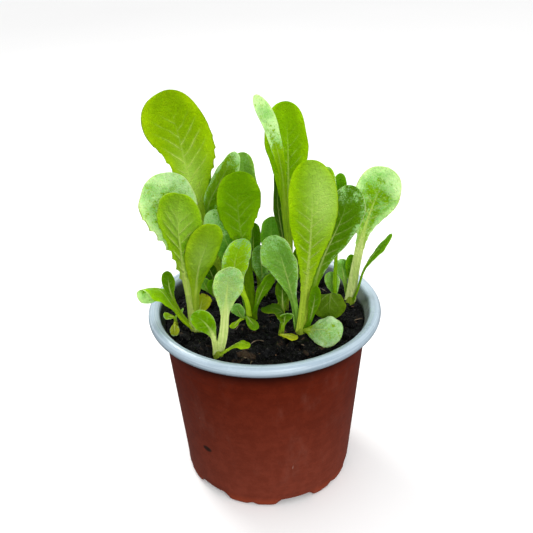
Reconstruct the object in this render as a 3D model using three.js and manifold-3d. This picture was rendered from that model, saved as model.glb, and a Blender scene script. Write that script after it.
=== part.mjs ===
// A small nursery pot filled with compost, with eleven young romaine lettuce seedlings standing in it.
// Millimetres, +Z up. The near side of the pot is -Y.

import * as THREE from 'three';
import { mergeVertices } from 'three/addons/utils/BufferGeometryUtils.js';
import Module from 'manifold-3d';

const wasm = await Module();
wasm.setup();

// Driving dimensions

const potHeight = 99;
const potSides = 44;
const rimRadius = 57;
const rimTube = 3;
const wallTopRadius = 53;
const wallFootRadius = 45;
const sheet = 1;
const floorHeight = 4;
const footPairs = 6;
const footPairTurn = -12;
const footSpread = 10;
const footSize = 7;
const drainHoleRadius = 3.5;
const drainRingRadius = 26;
const drainHoles = 6;

const compostTop = 90;
const compostGap = 0.4;
const stemHoleDepth = 7;
const stemHoleGap = 0.5;

const bladeThickness = 0.8;
const ribThickness = 1.6;
const stalkThickness = 2.2;
const ribTaper = 0.6;
const stalkEndsAt = 0.6;
const sliver = 0.03;
const baseFullness = 1;
const tipFullness = 0.43;
const wavesAlong = 17;
const waveShift = 2;
const waveHeight = 0.08;

// Where a leaf has its rows of points along the blade and its columns across, as shares of each
const wideLeaf = 15;
const wideLeafRows = [0, 0.15, 0.32, 0.5, 0.67, 0.82, 0.92, 0.975, 0.997];
const wideLeafColumns = [-1, -0.68, -0.3, 0, 0.3, 0.68, 1];
const smallLeafRows = [0, 0.3, 0.6, 0.85, 0.985];
const smallLeafColumns = [-1, -0.45, 0, 0.45, 1];

// The pot's axis is set back from the origin, which lies under the middle of the whole bounding box
const potAxis = new THREE.Vector3(-2.9, 0, 0);

// Solids

const radians = THREE.MathUtils.degToRad;

function toSolid(geometry) {
  const plain = geometry.clone();
  plain.deleteAttribute('normal');
  plain.deleteAttribute('uv');
  const merged = mergeVertices(plain, 1e-4);
  const vertProperties = new Float32Array(merged.attributes.position.array);
  const triVerts = new Uint32Array(merged.index.array);
  return new wasm.Manifold(new wasm.Mesh({ numProp: 3, vertProperties, triVerts }));
}

function toGeometry(solid) {
  const mesh = solid.getMesh();
  const geometry = new THREE.BufferGeometry();
  geometry.setAttribute('position', new THREE.BufferAttribute(mesh.vertProperties, 3));
  geometry.setIndex(new THREE.BufferAttribute(mesh.triVerts, 1));
  geometry.computeVertexNormals();
  return geometry;
}

function joined(solids) {
  return solids.reduce((whole, solid) => whole.add(solid));
}

// Merges the slivers that joining and cutting leave
function tidied(solid) {
  return solid.simplify(sliver);
}

function piece(name, solid, material) {
  const mesh = new THREE.Mesh(toGeometry(solid), material);
  mesh.name = name;
  return mesh;
}

// A profile of [radius, height] points, turned round the vertical axis
function turned(profile, sides) {
  const points = profile.map(([radius, height]) => new THREE.Vector2(radius, height));
  return new THREE.LatheGeometry(points, sides).rotateX(Math.PI / 2);
}

function upright(radius, bottom, top, x, y, sides) {
  const cylinder = new THREE.CylinderGeometry(radius, radius, top - bottom, sides);
  return toSolid(cylinder.rotateX(Math.PI / 2).translate(x, y, (top + bottom) / 2));
}

// Pot

function wallRadius(height) {
  const wallTop = potHeight - 2 * rimTube;
  return wallFootRadius + ((wallTopRadius - wallFootRadius) * height) / wallTop;
}

function rimArc(radius, fromAngle, toAngle, steps) {
  const centreHeight = potHeight - rimTube;
  const arc = [];
  for (let i = 0; i <= steps; i += 1) {
    const angle = radians(fromAngle + ((toAngle - fromAngle) * i) / steps);
    arc.push([rimRadius + radius * Math.cos(angle), centreHeight + radius * Math.sin(angle)]);
  }
  return arc;
}

// One sheet of plastic: floor, tapered wall and a rim rolled outwards and open underneath
function potShell() {
  const wallTop = potHeight - 2 * rimTube;
  const lowEdge = floorHeight + 1.6;
  const profile = [
    [0, floorHeight],
    [wallFootRadius - 1.4, floorHeight],
    [wallFootRadius - 0.4, floorHeight + 0.5],
    [wallRadius(lowEdge), lowEdge],
    [wallTopRadius, wallTop],
    ...rimArc(rimTube - sheet, 200, -60, 4),
    ...rimArc(rimTube, -60, 180, 6),
    [wallTopRadius - sheet, wallTop],
    [wallRadius(lowEdge) - sheet, lowEdge + 0.6],
    [wallFootRadius - 1.9, floorHeight + sheet],
    [0, floorHeight + sheet],
  ];
  return toSolid(turned(profile, potSides));
}

// The feet stand in pairs, with an open notch under the wall's edge between one pair and the next
function potFeet() {
  const innerRadius = wallFootRadius - 8;
  const ring = toSolid(turned([
    [innerRadius, floorHeight + sheet / 2],
    [innerRadius + 0.6, 1],
    [innerRadius + 1.8, 0],
    [wallFootRadius - 1.8, 0],
    [wallFootRadius - 0.5, 0.6],
    [wallFootRadius - 0.05, 2],
    [wallRadius(floorHeight + 1), floorHeight + 1],
    [wallRadius(floorHeight + 1) - sheet / 2, floorHeight + 1],
    [wallFootRadius - 2, floorHeight + sheet / 2],
    [innerRadius, floorHeight + sheet / 2],
  ], potSides));
  const blocks = [];
  for (let pair = 0; pair < footPairs; pair += 1) {
    for (const side of [-1, 1]) {
      const azimuth = radians(footPairTurn + (360 / footPairs) * pair + side * footSpread);
      const x = (wallFootRadius - 3) * Math.sin(azimuth);
      const y = -(wallFootRadius - 3) * Math.cos(azimuth);
      blocks.push(upright(footSize, -1, floorHeight + 2 * sheet, x, y, 12));
    }
  }
  return ring.intersect(joined(blocks));
}

function drainCuts() {
  const cuts = [upright(drainHoleRadius, 0, floorHeight + 3, 0, 0, 12)];
  for (let i = 0; i < drainHoles; i += 1) {
    const angle = (2 * Math.PI * i) / drainHoles;
    const x = drainRingRadius * Math.cos(angle);
    const y = drainRingRadius * Math.sin(angle);
    cuts.push(upright(drainHoleRadius, 0, floorHeight + 3, x, y, 12));
  }
  return joined(cuts);
}

function pot() {
  const plastic = new THREE.MeshStandardMaterial({ color: 0x6a2a1c, roughness: 0.45, metalness: 0 });
  return piece('pot', tidied(potShell().add(potFeet()).subtract(drainCuts())), plastic);
}

// Compost

// Height of the lumps over the compost's mean surface
function lump(x, y) {
  const broad = 0.4 * Math.sin(0.21 * x + 1) * Math.cos(0.19 * y);
  const fine = 0.3 * Math.sin(0.55 * x + 0.4 * y + 2) + 0.25 * Math.cos(0.7 * y - 0.35 * x);
  return broad + fine;
}

function compost(seedlings) {
  const floorTop = floorHeight + sheet + compostGap;
  const sideGap = sheet + compostGap;
  const rings = [44, 36, 28, 20, 12, 5, 0];
  const geometry = turned([
    [0, floorTop],
    [wallFootRadius - 3.2, floorTop],
    [wallRadius(floorTop + 4) - sideGap, floorTop + 4],
    [wallRadius(compostTop) - sideGap, compostTop - 0.5],
    ...rings.map((radius) => [radius, compostTop]),
  ], potSides);
  const position = geometry.attributes.position;
  for (let i = 0; i < position.count; i += 1) {
    if (position.getZ(i) > compostTop - 0.1) {
      const x = position.getX(i);
      const y = position.getY(i);
      position.setZ(i, compostTop + lump(x, y));
    }
  }
  const holes = seedlings.map(({ crown: [x, y], stem }) => (
    upright(stem + stemHoleGap, compostTop - stemHoleDepth, compostTop + 5, x, y, 10)
  ));
  const peat = new THREE.MeshStandardMaterial({ color: 0x1d1714, roughness: 0.95, metalness: 0 });
  return piece('compost', tidied(toSolid(geometry).subtract(joined(holes))), peat);
}

// Leaves

// Half the blade's width from 0 at its base, through 1 at the peak, to a blunt tip
function spoon(along, peak) {
  const power = Math.log(0.5) / Math.log(peak);
  return Math.sin(Math.PI * along ** power) ** (along < peak ? baseFullness : tipFullness);
}

// One leaf is a stalk that widens into a spoon-shaped blade along a smooth curve through its spine points.
//   spine   points from the crown to the tip
//   width   of the blade at its widest
//   turn    direction of the leaf's width in plan, degrees from +X
//   roll    turn about the spine, degrees
//   blade   share of the length where the blade starts
//   peak    share of the blade where it is widest
//   skew    how much higher the left half's peak is than the right half's, as a share of the blade
//   cup     angle by which the halves lift from flat, degrees
//   stalk   width of the stalk
function leaf({
  spine, width, turn = 0, roll = 0, blade = 0.4, peak = 0.66, skew = 0, cup = 12, stalk = 3,
}) {
  const spinePoints = spine.map((point) => new THREE.Vector3(...point));
  const curve = new THREE.CatmullRomCurve3(spinePoints, false, 'centripetal');
  const rows = width >= wideLeaf ? wideLeafRows : smallLeafRows;
  const columns = width >= wideLeaf ? wideLeafColumns : smallLeafColumns;
  const widthInPlan = new THREE.Vector3(Math.cos(radians(turn)), Math.sin(radians(turn)), 0);
  const upper = [];
  const lower = [];

  const addRow = (t, along) => {
    const centre = curve.getPointAt(t);
    const tangent = curve.getTangentAt(t);
    const side = widthInPlan.clone().addScaledVector(tangent, -widthInPlan.dot(tangent)).normalize();
    side.applyAxisAngle(tangent, radians(roll));
    const normal = new THREE.Vector3().crossVectors(side, tangent);
    const halfStalk = (stalk / 2) * (1 - ribTaper * along);
    for (const column of columns) {
      const open = spoon(along, peak - Math.sign(column) * (skew / 2));
      const half = Math.max(halfStalk, (width / 2) * open + halfStalk * (1 - open));
      const stalkShare = 1 - Math.min(1, open / stalkEndsAt);
      const edge = Math.abs(column);
      const phase = along * wavesAlong + (column > 0 ? 0 : waveShift);
      const ripple = Math.sin(phase) * waveHeight * half * edge ** 2 * open;
      const rise = half * edge ** 1.4 * Math.sin(radians(cup)) * open + ripple;
      const reach = column * half * Math.cos(radians(cup) * open);
      const rib = ribThickness * (1 - ribTaper * along) * (1 - edge) ** 3;
      const stalkHere = stalkThickness * stalkShare * (1 - edge / 2);
      const thickness = Math.max(bladeThickness, rib, stalkHere);
      const point = centre.clone().addScaledVector(side, reach).addScaledVector(normal, rise);
      upper.push(point.clone().addScaledVector(normal, thickness / 2));
      lower.push(point.clone().addScaledVector(normal, -thickness / 2));
    }
  };

  addRow(0, 0);
  addRow(blade / 2, 0);
  rows.forEach((along) => addRow(blade + (1 - blade) * along, along));
  return toSolid(leafSurface(upper, lower, columns.length));
}

// Both faces are split into triangles along the same diagonals
function leafSurface(upper, lower, across) {
  const points = [...upper, ...lower];
  const under = upper.length;
  const rowCount = under / across;
  const index = [];
  const quad = (a, b, c, d) => index.push(a, b, c, a, c, d);
  for (let row = 0; row + 1 < rowCount; row += 1) {
    for (let column = 0; column + 1 < across; column += 1) {
      const a = row * across + column;
      const b = a + 1;
      const c = b + across;
      const d = a + across;
      index.push(a, b, c, a, c, d);
      index.push(under + a, under + c, under + b, under + a, under + d, under + c);
    }
    const left = row * across;
    const right = left + across - 1;
    quad(left, left + across, under + left + across, under + left);
    quad(right, under + right, under + right + across, right + across);
  }
  const last = (rowCount - 1) * across;
  for (let column = 0; column + 1 < across; column += 1) {
    quad(column, under + column, under + column + 1, column + 1);
    quad(last + column, last + column + 1, under + last + column + 1, under + last + column);
  }
  const geometry = new THREE.BufferGeometry();
  geometry.setFromPoints(points);
  geometry.setIndex(index);
  return geometry;
}

// The crown that the leaves grow from, with the short stem below it in the compost
function crownSolid([x, y], radius) {
  const bottom = compostTop - stemHoleDepth + stemHoleGap;
  const profile = [
    [0, bottom],
    [radius * 0.6, bottom],
    [radius, bottom + 2],
    [radius, compostTop + 3],
    [radius * 0.5, compostTop + 5.5],
    [0, compostTop + 6],
  ];
  return toSolid(turned(profile, 8).translate(x, y, 0));
}

// Seedlings, each by its place in the pot. Spine points are [x, y, z] from the pot's axis and foot.

const seedlings = [
  {
    name: 'seedling_left',
    crown: [-35, -13],
    stem: 2.6,
    colour: 0x86b830,
    leaves: [
      {
        spine: [[-36, -11, 92], [-38, -10, 125], [-43.5, -2, 153], [-45.5, 4, 170]],
        width: 30, turn: -14, blade: 0.36, peak: 0.7, cup: 15, stalk: 4,
      },
      {
        spine: [[-35, -15, 92], [-36, -18, 112], [-38, -22, 138], [-38, -25, 158], [-36.5, -27, 171]],
        width: 22, turn: 168, blade: 0.35, peak: 0.72, cup: 16, stalk: 5,
      },
      {
        spine: [[-34, -14, 92], [-33.5, -19, 112], [-30, -25, 134], [-25, -28, 148], [-22.5, -29, 157]],
        width: 17, turn: 190, blade: 0.3, peak: 0.68, cup: 18, stalk: 3.5,
      },
      {
        spine: [
          [-36, -14, 92], [-41, -15, 98], [-46, -14, 106],
          [-51, -12, 113.5], [-55.5, -11, 115], [-57.5, -11, 108],
        ],
        width: 16.5, turn: 60, roll: 25, blade: 0.3, peak: 0.6, cup: -14, stalk: 2.4,
      },
      {
        spine: [[-36, -14, 92], [-42, -11, 99], [-46.5, -10, 111], [-47.5, -10, 124]],
        width: 6.8, blade: 0.5, stalk: 1.8,
      },
      {
        spine: [[-34, -12, 92], [-33, -8.5, 98], [-29.5, -5, 106.5]],
        width: 10.5, turn: 30, blade: 0.25, stalk: 2,
      },
    ],
  },
  {
    name: 'seedling_left_edge',
    crown: [-45.8, -8],
    stem: 1.2,
    colour: 0x9cc060,
    leaves: [
      {
        spine: [[-46, -8, 92], [-46.5, -8.5, 96], [-51, -11.5, 98.5]],
        width: 5.5, turn: 80, blade: 0.4, stalk: 1.4,
      },
      {
        spine: [[-45.6, -8, 92], [-45.3, -7.5, 96], [-41.5, -5.5, 99.5]],
        width: 5, turn: 80, blade: 0.4, stalk: 1.4,
      },
      {
        spine: [[-45.8, -8.5, 92], [-45.7, -12, 95], [-45.4, -16.5, 95.5], [-45.2, -20, 92]],
        width: 5, blade: 0.5, peak: 0.55, stalk: 1.4,
      },
    ],
  },
  {
    name: 'seedling_back_left',
    crown: [-24, 19],
    stem: 2.6,
    colour: 0x86b41a,
    leaves: [
      {
        spine: [
          [-24, 19, 92], [-26, 18, 114], [-33, 17, 143],
          [-37, 16, 168], [-39.5, 15, 186], [-43.5, 14, 206.4],
        ],
        width: 31.5, turn: 12, blade: 0.38, peak: 0.7, skew: 0.16, cup: 12, stalk: 5,
      },
      {
        spine: [[-24, 17, 92], [-27, 12, 97], [-27, 9, 108]],
        width: 6, blade: 0.3, stalk: 2,
      },
      {
        spine: [[-25, 19, 92], [-27, 17, 104], [-30, 16, 114]],
        width: 8, blade: 0.4, stalk: 2,
      },
      {
        spine: [[-25, 19, 92], [-30, 15, 98], [-33, 13, 107]],
        width: 8, blade: 0.4, stalk: 2,
      },
      {
        spine: [[-23, 20, 92], [-24, 25, 118], [-27, 31, 143], [-29, 34, 155]],
        width: 14, turn: 165, blade: 0.45, stalk: 3,
      },
      {
        spine: [[-23, 20, 92], [-21, 26, 104], [-22, 32, 118]],
        width: 11, turn: 150, blade: 0.35, stalk: 2.4,
      },
    ],
  },
  {
    name: 'seedling_front',
    crown: [-23, -36],
    stem: 2.4,
    colour: 0x94b068,
    leaves: [
      {
        spine: [[-23, -36, 92], [-20, -37, 103], [-18, -38, 119], [-15, -39, 141]],
        width: 15, turn: 15, blade: 0.45, stalk: 4,
      },
      {
        spine: [[-24, -36, 92], [-24, -38, 98], [-25, -40, 107], [-28, -42, 114], [-33, -43, 119]],
        width: 10, turn: 20, blade: 0.35, stalk: 2.4,
      },
      {
        spine: [[-22, -37, 92], [-18, -39, 96], [-12, -41, 101], [-7, -42, 100]],
        width: 7, turn: 70, blade: 0.3, stalk: 1.8,
      },
    ],
  },
  {
    name: 'seedling_middle',
    crown: [-7, -4],
    stem: 2.8,
    colour: 0x6a9a20,
    leaves: [
      {
        spine: [
          [-8, -3, 92], [-13, 0, 118], [-23, 3, 140],
          [-26, 3, 151], [-19.5, 2, 165], [-10.8, 1, 180],
        ],
        width: 12.5, turn: 150, blade: 0.58, peak: 0.55, cup: 20, stalk: 2.4,
      },
      {
        spine: [[-7, -3, 92], [-7, 2, 128], [-7, 8, 153], [-9, 12, 176.2]],
        width: 15, turn: -20, blade: 0.4, peak: 0.74, cup: 20, stalk: 3,
      },
      {
        spine: [[-7, -6, 92], [-8, -7, 122], [-11, -9, 149], [-11, -11, 166], [-10, -12, 176]],
        width: 22, turn: 14, blade: 0.4, peak: 0.7, stalk: 4.5,
      },
      {
        spine: [[-8, -4, 92], [-10, -4, 107], [-15, -5, 128], [-20.5, -5, 144], [-24.5, -4, 153]],
        width: 17, turn: -8, blade: 0.3, stalk: 3.5,
      },
      {
        spine: [[-8, -6, 92], [-9, -9, 105], [-14, -12, 121], [-13, -14, 133], [-8.5, -14, 142.6]],
        width: 14.5, turn: 15, blade: 0.3, stalk: 2.4,
      },
      {
        spine: [[-6, -5, 92], [-4, -7, 102], [0, -9, 113], [4, -11, 121]],
        width: 8, turn: 20, blade: 0.25, stalk: 2.4,
      },
      {
        spine: [[-8, -5, 92], [-11, -10, 96], [-13, -14, 102], [-14, -16, 108]],
        width: 7, blade: 0.3, stalk: 1.8,
      },
      {
        spine: [[-8, -6, 92], [-9, -10, 96], [-7, -14, 95.5], [-4, -18, 93.5]],
        width: 5.5, blade: 0.3, stalk: 1.8,
      },
      {
        spine: [[-9, -5, 92], [-12.5, -11, 95], [-17, -16.5, 93.4]],
        width: 4.5, turn: 120, blade: 0.55, stalk: 1.6,
      },
    ],
  },
  {
    name: 'seedling_centre_small',
    crown: [8, -20],
    stem: 1.7,
    colour: 0x6f9c30,
    leaves: [
      {
        spine: [[8, -20, 92], [9, -20, 99], [8.5, -21, 105], [4, -22, 108.5], [-1.5, -22, 107]],
        width: 13, turn: 75, roll: 10, blade: 0.2, cup: -10, stalk: 2.2,
      },
      {
        spine: [[8, -20, 92], [9, -21, 98], [10, -23, 104], [11, -26, 107]],
        width: 8, turn: 10, blade: 0.3, stalk: 2,
      },
      {
        spine: [[7, -21, 92], [8, -24, 94], [12, -26, 94.5], [16, -26.5, 93.5]],
        width: 5.5, turn: 70, blade: 0.25, stalk: 1.6,
      },
      {
        spine: [[8, -19, 92], [9, -16, 100], [9, -14, 110], [9, -13, 119]],
        width: 7, blade: 0.35, stalk: 2,
      },
    ],
  },
  {
    name: 'seedling_front_right',
    crown: [18, -16],
    stem: 3,
    colour: 0x84b428,
    leaves: [
      {
        spine: [[18, -17, 92], [20, -20, 117], [22, -24, 144], [22.5, -27, 170], [20.5, -27, 185.6]],
        width: 24, turn: 10, blade: 0.2, peak: 0.7, cup: 16, stalk: 4.4,
      },
      {
        spine: [[17, -16, 92], [15, -17, 107], [12, -19, 121], [8, -20, 137], [5, -20, 147]],
        width: 19, turn: -22, blade: 0.25, peak: 0.7, cup: 18, stalk: 3.5,
      },
      {
        spine: [[19, -17, 92], [23, -22, 95], [29, -27, 98], [37.5, -30, 98]],
        width: 17, turn: 60, roll: 35, blade: 0.08, peak: 0.62, stalk: 2.6,
      },
      {
        spine: [[20, -15, 92], [23, -14, 110], [29, -10, 128], [38, -7, 148], [43, -4, 164]],
        width: 21, turn: 18, blade: 0.25, peak: 0.7, cup: 16, stalk: 4,
      },
      {
        spine: [[20, -17, 92], [22, -20, 99], [24, -22, 110], [25, -22, 120]],
        width: 6, blade: 0.25, stalk: 2.4,
      },
      {
        spine: [[18, -14, 92], [22, -10, 118], [29, -5, 149], [31.5, -2, 173]],
        width: 11, blade: 0.4, stalk: 3,
      },
    ],
  },
  {
    name: 'seedling_back_middle',
    crown: [10, 7],
    stem: 2.8,
    colour: 0x80b020,
    leaves: [
      {
        spine: [[10, 8, 92], [13, 10, 118], [13.5, 13, 150], [13.5, 15, 180], [12.5, 16, 199.5]],
        width: 22.5, turn: -16, blade: 0.36, peak: 0.72, cup: 16, stalk: 4.5,
      },
      {
        spine: [[10, 6, 92], [13, 6, 120], [11, 5, 150], [9, 3, 175], [3.5, 0, 196], [-2, -3, 208]],
        width: 10, turn: 40, blade: 0.45, peak: 0.75, cup: 14, stalk: 4,
      },
      {
        spine: [[9, 8, 92], [11, 13, 118], [8, 20, 146], [9, 24, 167]],
        width: 9, turn: 50, blade: 0.3, stalk: 2.6,
      },
      {
        spine: [[11, 8, 92], [17, 13, 105], [23, 18, 122]],
        width: 12, turn: -40, blade: 0.35, stalk: 2.6,
      },
    ],
  },
  {
    name: 'seedling_back',
    crown: [-1, 20],
    stem: 2.4,
    colour: 0x4c7a30,
    leaves: [
      {
        spine: [[0, 20, 92], [1, 22, 105], [4, 24, 122], [5, 25, 136]],
        width: 14, turn: 20, blade: 0.4, stalk: 2.6,
      },
      {
        spine: [[-2, 19, 92], [-3, 16, 108], [-5, 14, 124], [-4, 13, 138]],
        width: 8, blade: 0.4, stalk: 2.2,
      },
      {
        spine: [[-1, 19, 92], [0, 15, 98], [-1, 12, 110], [-1.5, 10, 127]],
        width: 10, blade: 0.25, stalk: 2,
      },
      {
        spine: [[0, 19, 92], [1, 15, 97], [2, 12, 104], [3, 10, 111]],
        width: 8, blade: 0.35, stalk: 2,
      },
      {
        spine: [[-1, 21, 92], [-4, 27, 104], [-6, 33, 116]],
        width: 12, turn: 170, blade: 0.35, stalk: 2.4,
      },
      {
        spine: [[0, 21, 92], [6, 26, 100], [12, 31, 108]],
        width: 10, turn: 140, blade: 0.35, stalk: 2.2,
      },
    ],
  },
  {
    name: 'seedling_right',
    crown: [46, 11],
    stem: 2.5,
    colour: 0x8cba4a,
    leaves: [
      {
        spine: [[46, 11, 92], [48, 10, 112], [52, 7, 138], [57, 4, 157], [61, 2, 169.7]],
        width: 23, turn: -16, blade: 0.36, peak: 0.74, cup: 16, stalk: 4.5,
      },
      {
        spine: [[47, 10, 92], [49, 7, 100], [52, 4, 115], [58, 1, 127], [64, 0, 136]],
        width: 7, turn: 75, roll: 20, blade: 0.4, stalk: 1.6,
      },
      {
        spine: [[46, 12, 92], [46, 13, 104], [46, 14, 118]],
        width: 6, blade: 0.3, stalk: 2,
      },
      {
        spine: [[45, 12, 92], [43, 15, 102], [41, 17, 114]],
        width: 8, blade: 0.35, stalk: 2,
      },
    ],
  },
  {
    name: 'seedling_right_low',
    crown: [36, -3],
    stem: 2.2,
    colour: 0x5f9034,
    leaves: [
      {
        spine: [
          [36, -3, 92], [35.5, -4, 100], [34.5, -7, 106.5],
          [33.2, -11, 108], [32.3, -15, 103.5], [32, -16.5, 97],
        ],
        width: 17.5, blade: 0.3, stalk: 2.2,
      },
      {
        spine: [[36, -2, 92], [37, 3, 98], [36, 5, 105], [34, 6, 112]],
        width: 8, blade: 0.35, stalk: 1.8,
      },
      {
        spine: [[36, -2, 92], [37, 4, 120], [38, 8, 150], [39, 10, 165]],
        width: 8, blade: 0.6, stalk: 1.8,
      },
    ],
  },
];

function seedling({ name, crown, stem, colour, leaves }) {
  const green = new THREE.MeshStandardMaterial({ color: colour, roughness: 0.5, metalness: 0 });
  return piece(name, tidied(joined([crownSolid(crown, stem), ...leaves.map(leaf)])), green);
}

// The whole

const filledPot = new THREE.Group();
filledPot.position.copy(potAxis);
filledPot.add(pot(), compost(seedlings), ...seedlings.map(seedling));

export default filledPot;
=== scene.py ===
import math
import random

import bpy
import numpy as np
from mathutils import Matrix, Vector, noise as field


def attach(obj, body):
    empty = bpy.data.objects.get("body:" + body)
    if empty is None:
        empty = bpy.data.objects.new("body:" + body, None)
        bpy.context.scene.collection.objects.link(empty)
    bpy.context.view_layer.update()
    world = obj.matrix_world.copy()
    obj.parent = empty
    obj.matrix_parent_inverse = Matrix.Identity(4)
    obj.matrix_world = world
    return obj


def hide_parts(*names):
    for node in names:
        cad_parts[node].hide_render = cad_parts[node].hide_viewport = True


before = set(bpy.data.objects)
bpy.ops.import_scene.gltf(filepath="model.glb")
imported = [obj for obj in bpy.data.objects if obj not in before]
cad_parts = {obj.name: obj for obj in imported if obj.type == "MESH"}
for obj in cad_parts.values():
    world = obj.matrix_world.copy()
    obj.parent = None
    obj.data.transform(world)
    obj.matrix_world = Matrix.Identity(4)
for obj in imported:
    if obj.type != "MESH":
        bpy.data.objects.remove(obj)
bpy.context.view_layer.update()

# A small nursery pot of young romaine lettuce seedlings. Sizes are in millimetres from the pot's axis and
# foot, and MM turns them into metres.

MM = 0.001
POT_AXIS = Vector((-2.9, 0, 0))

POT_HEIGHT = 99
RIM_RADIUS = 57
RIM_TUBE = 3
RIM_GROOVE = 0.22
RIM_GROOVE_AT = 112
WALL_TOP_RADIUS = 53
WALL_FOOT_RADIUS = 45
SHEET = 0.9
FLOOR_HEIGHT = 4
FOOT_PAIRS = 6
FOOT_PAIR_TURN = -12
FOOT_SPREAD = 10
FOOT_HALF_WIDTH = 8
MOULD_LINE = 78.5
DRAIN_HOLE_RADIUS = 3.5
DRAIN_RING_RADIUS = 26
DRAIN_HOLES = 6
POT_SIDES = 180

# A dark speck on the wall, and the middle of the brownest part of the compost
DARK_SPECK = (-31, -35, 32.5)
BROWN_PATCH = (-8, -44, 90)

COMPOST_TOP = 90
COMPOST_RADIUS = 51.2
CLODS = 1000
CHIPS = 170
FIBRES = 30

# The leaf's own map holds millimetres: across from the midrib, and along from where the blade starts
MAP_WIDTH = 60
MAP_LENGTH = 240
VEIN_CLIMB = 1.05
VEIN_CURVE = 0.008
SIDE_SHIFT = 0.42

# Leaf colours, as red, green and blue light

SPRING = (0.36, 0.54, 0.001)
FRESH = (0.33, 0.54, 0.001)
BRIGHT = (0.45, 0.76, 0.006)
LIME = (0.32, 0.56, 0.003)
FERN = (0.22, 0.44, 0.001)
GRASS = (0.165, 0.41, 0.002)
MOSS = (0.13, 0.31, 0.001)
SAGE = (0.27, 0.54, 0.07)
ASH = (0.50, 0.74, 0.24)
DEEP = (0.08, 0.20, 0.002)
YELLOW = (0.50, 0.58, 0.02)
PALE_STEM = (0.85, 0.97, 0.38)

# Seedlings. A leaf's spine points run from the crown to the tip.
# width: the blade's at its widest, and turn, the direction of that width in plan
# roll: the turn about the spine
# blade: the share of the length where the blade starts, and peak, the share of the blade where it is widest
# skew: how much higher the left half's peak is
# cup: the angle by which the halves lift
# stalk: the stalk's width
# teeth: the depth of the margin's teeth
# down: a pale speckled painted sheen, the sky's reflection, strongest toward the margin
# bare and heart: the share of the blade where the painted sheen starts, and its share in the middle
# pale_or_shade: how white the stalk is, or below 0 how much darker than the blade, as painted shade
# veins and midrib: how strongly they show
# haze: a soft pale patch of painted sheen, by its strength, its place across and its place along
# wither: how far the tip is browned

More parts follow.
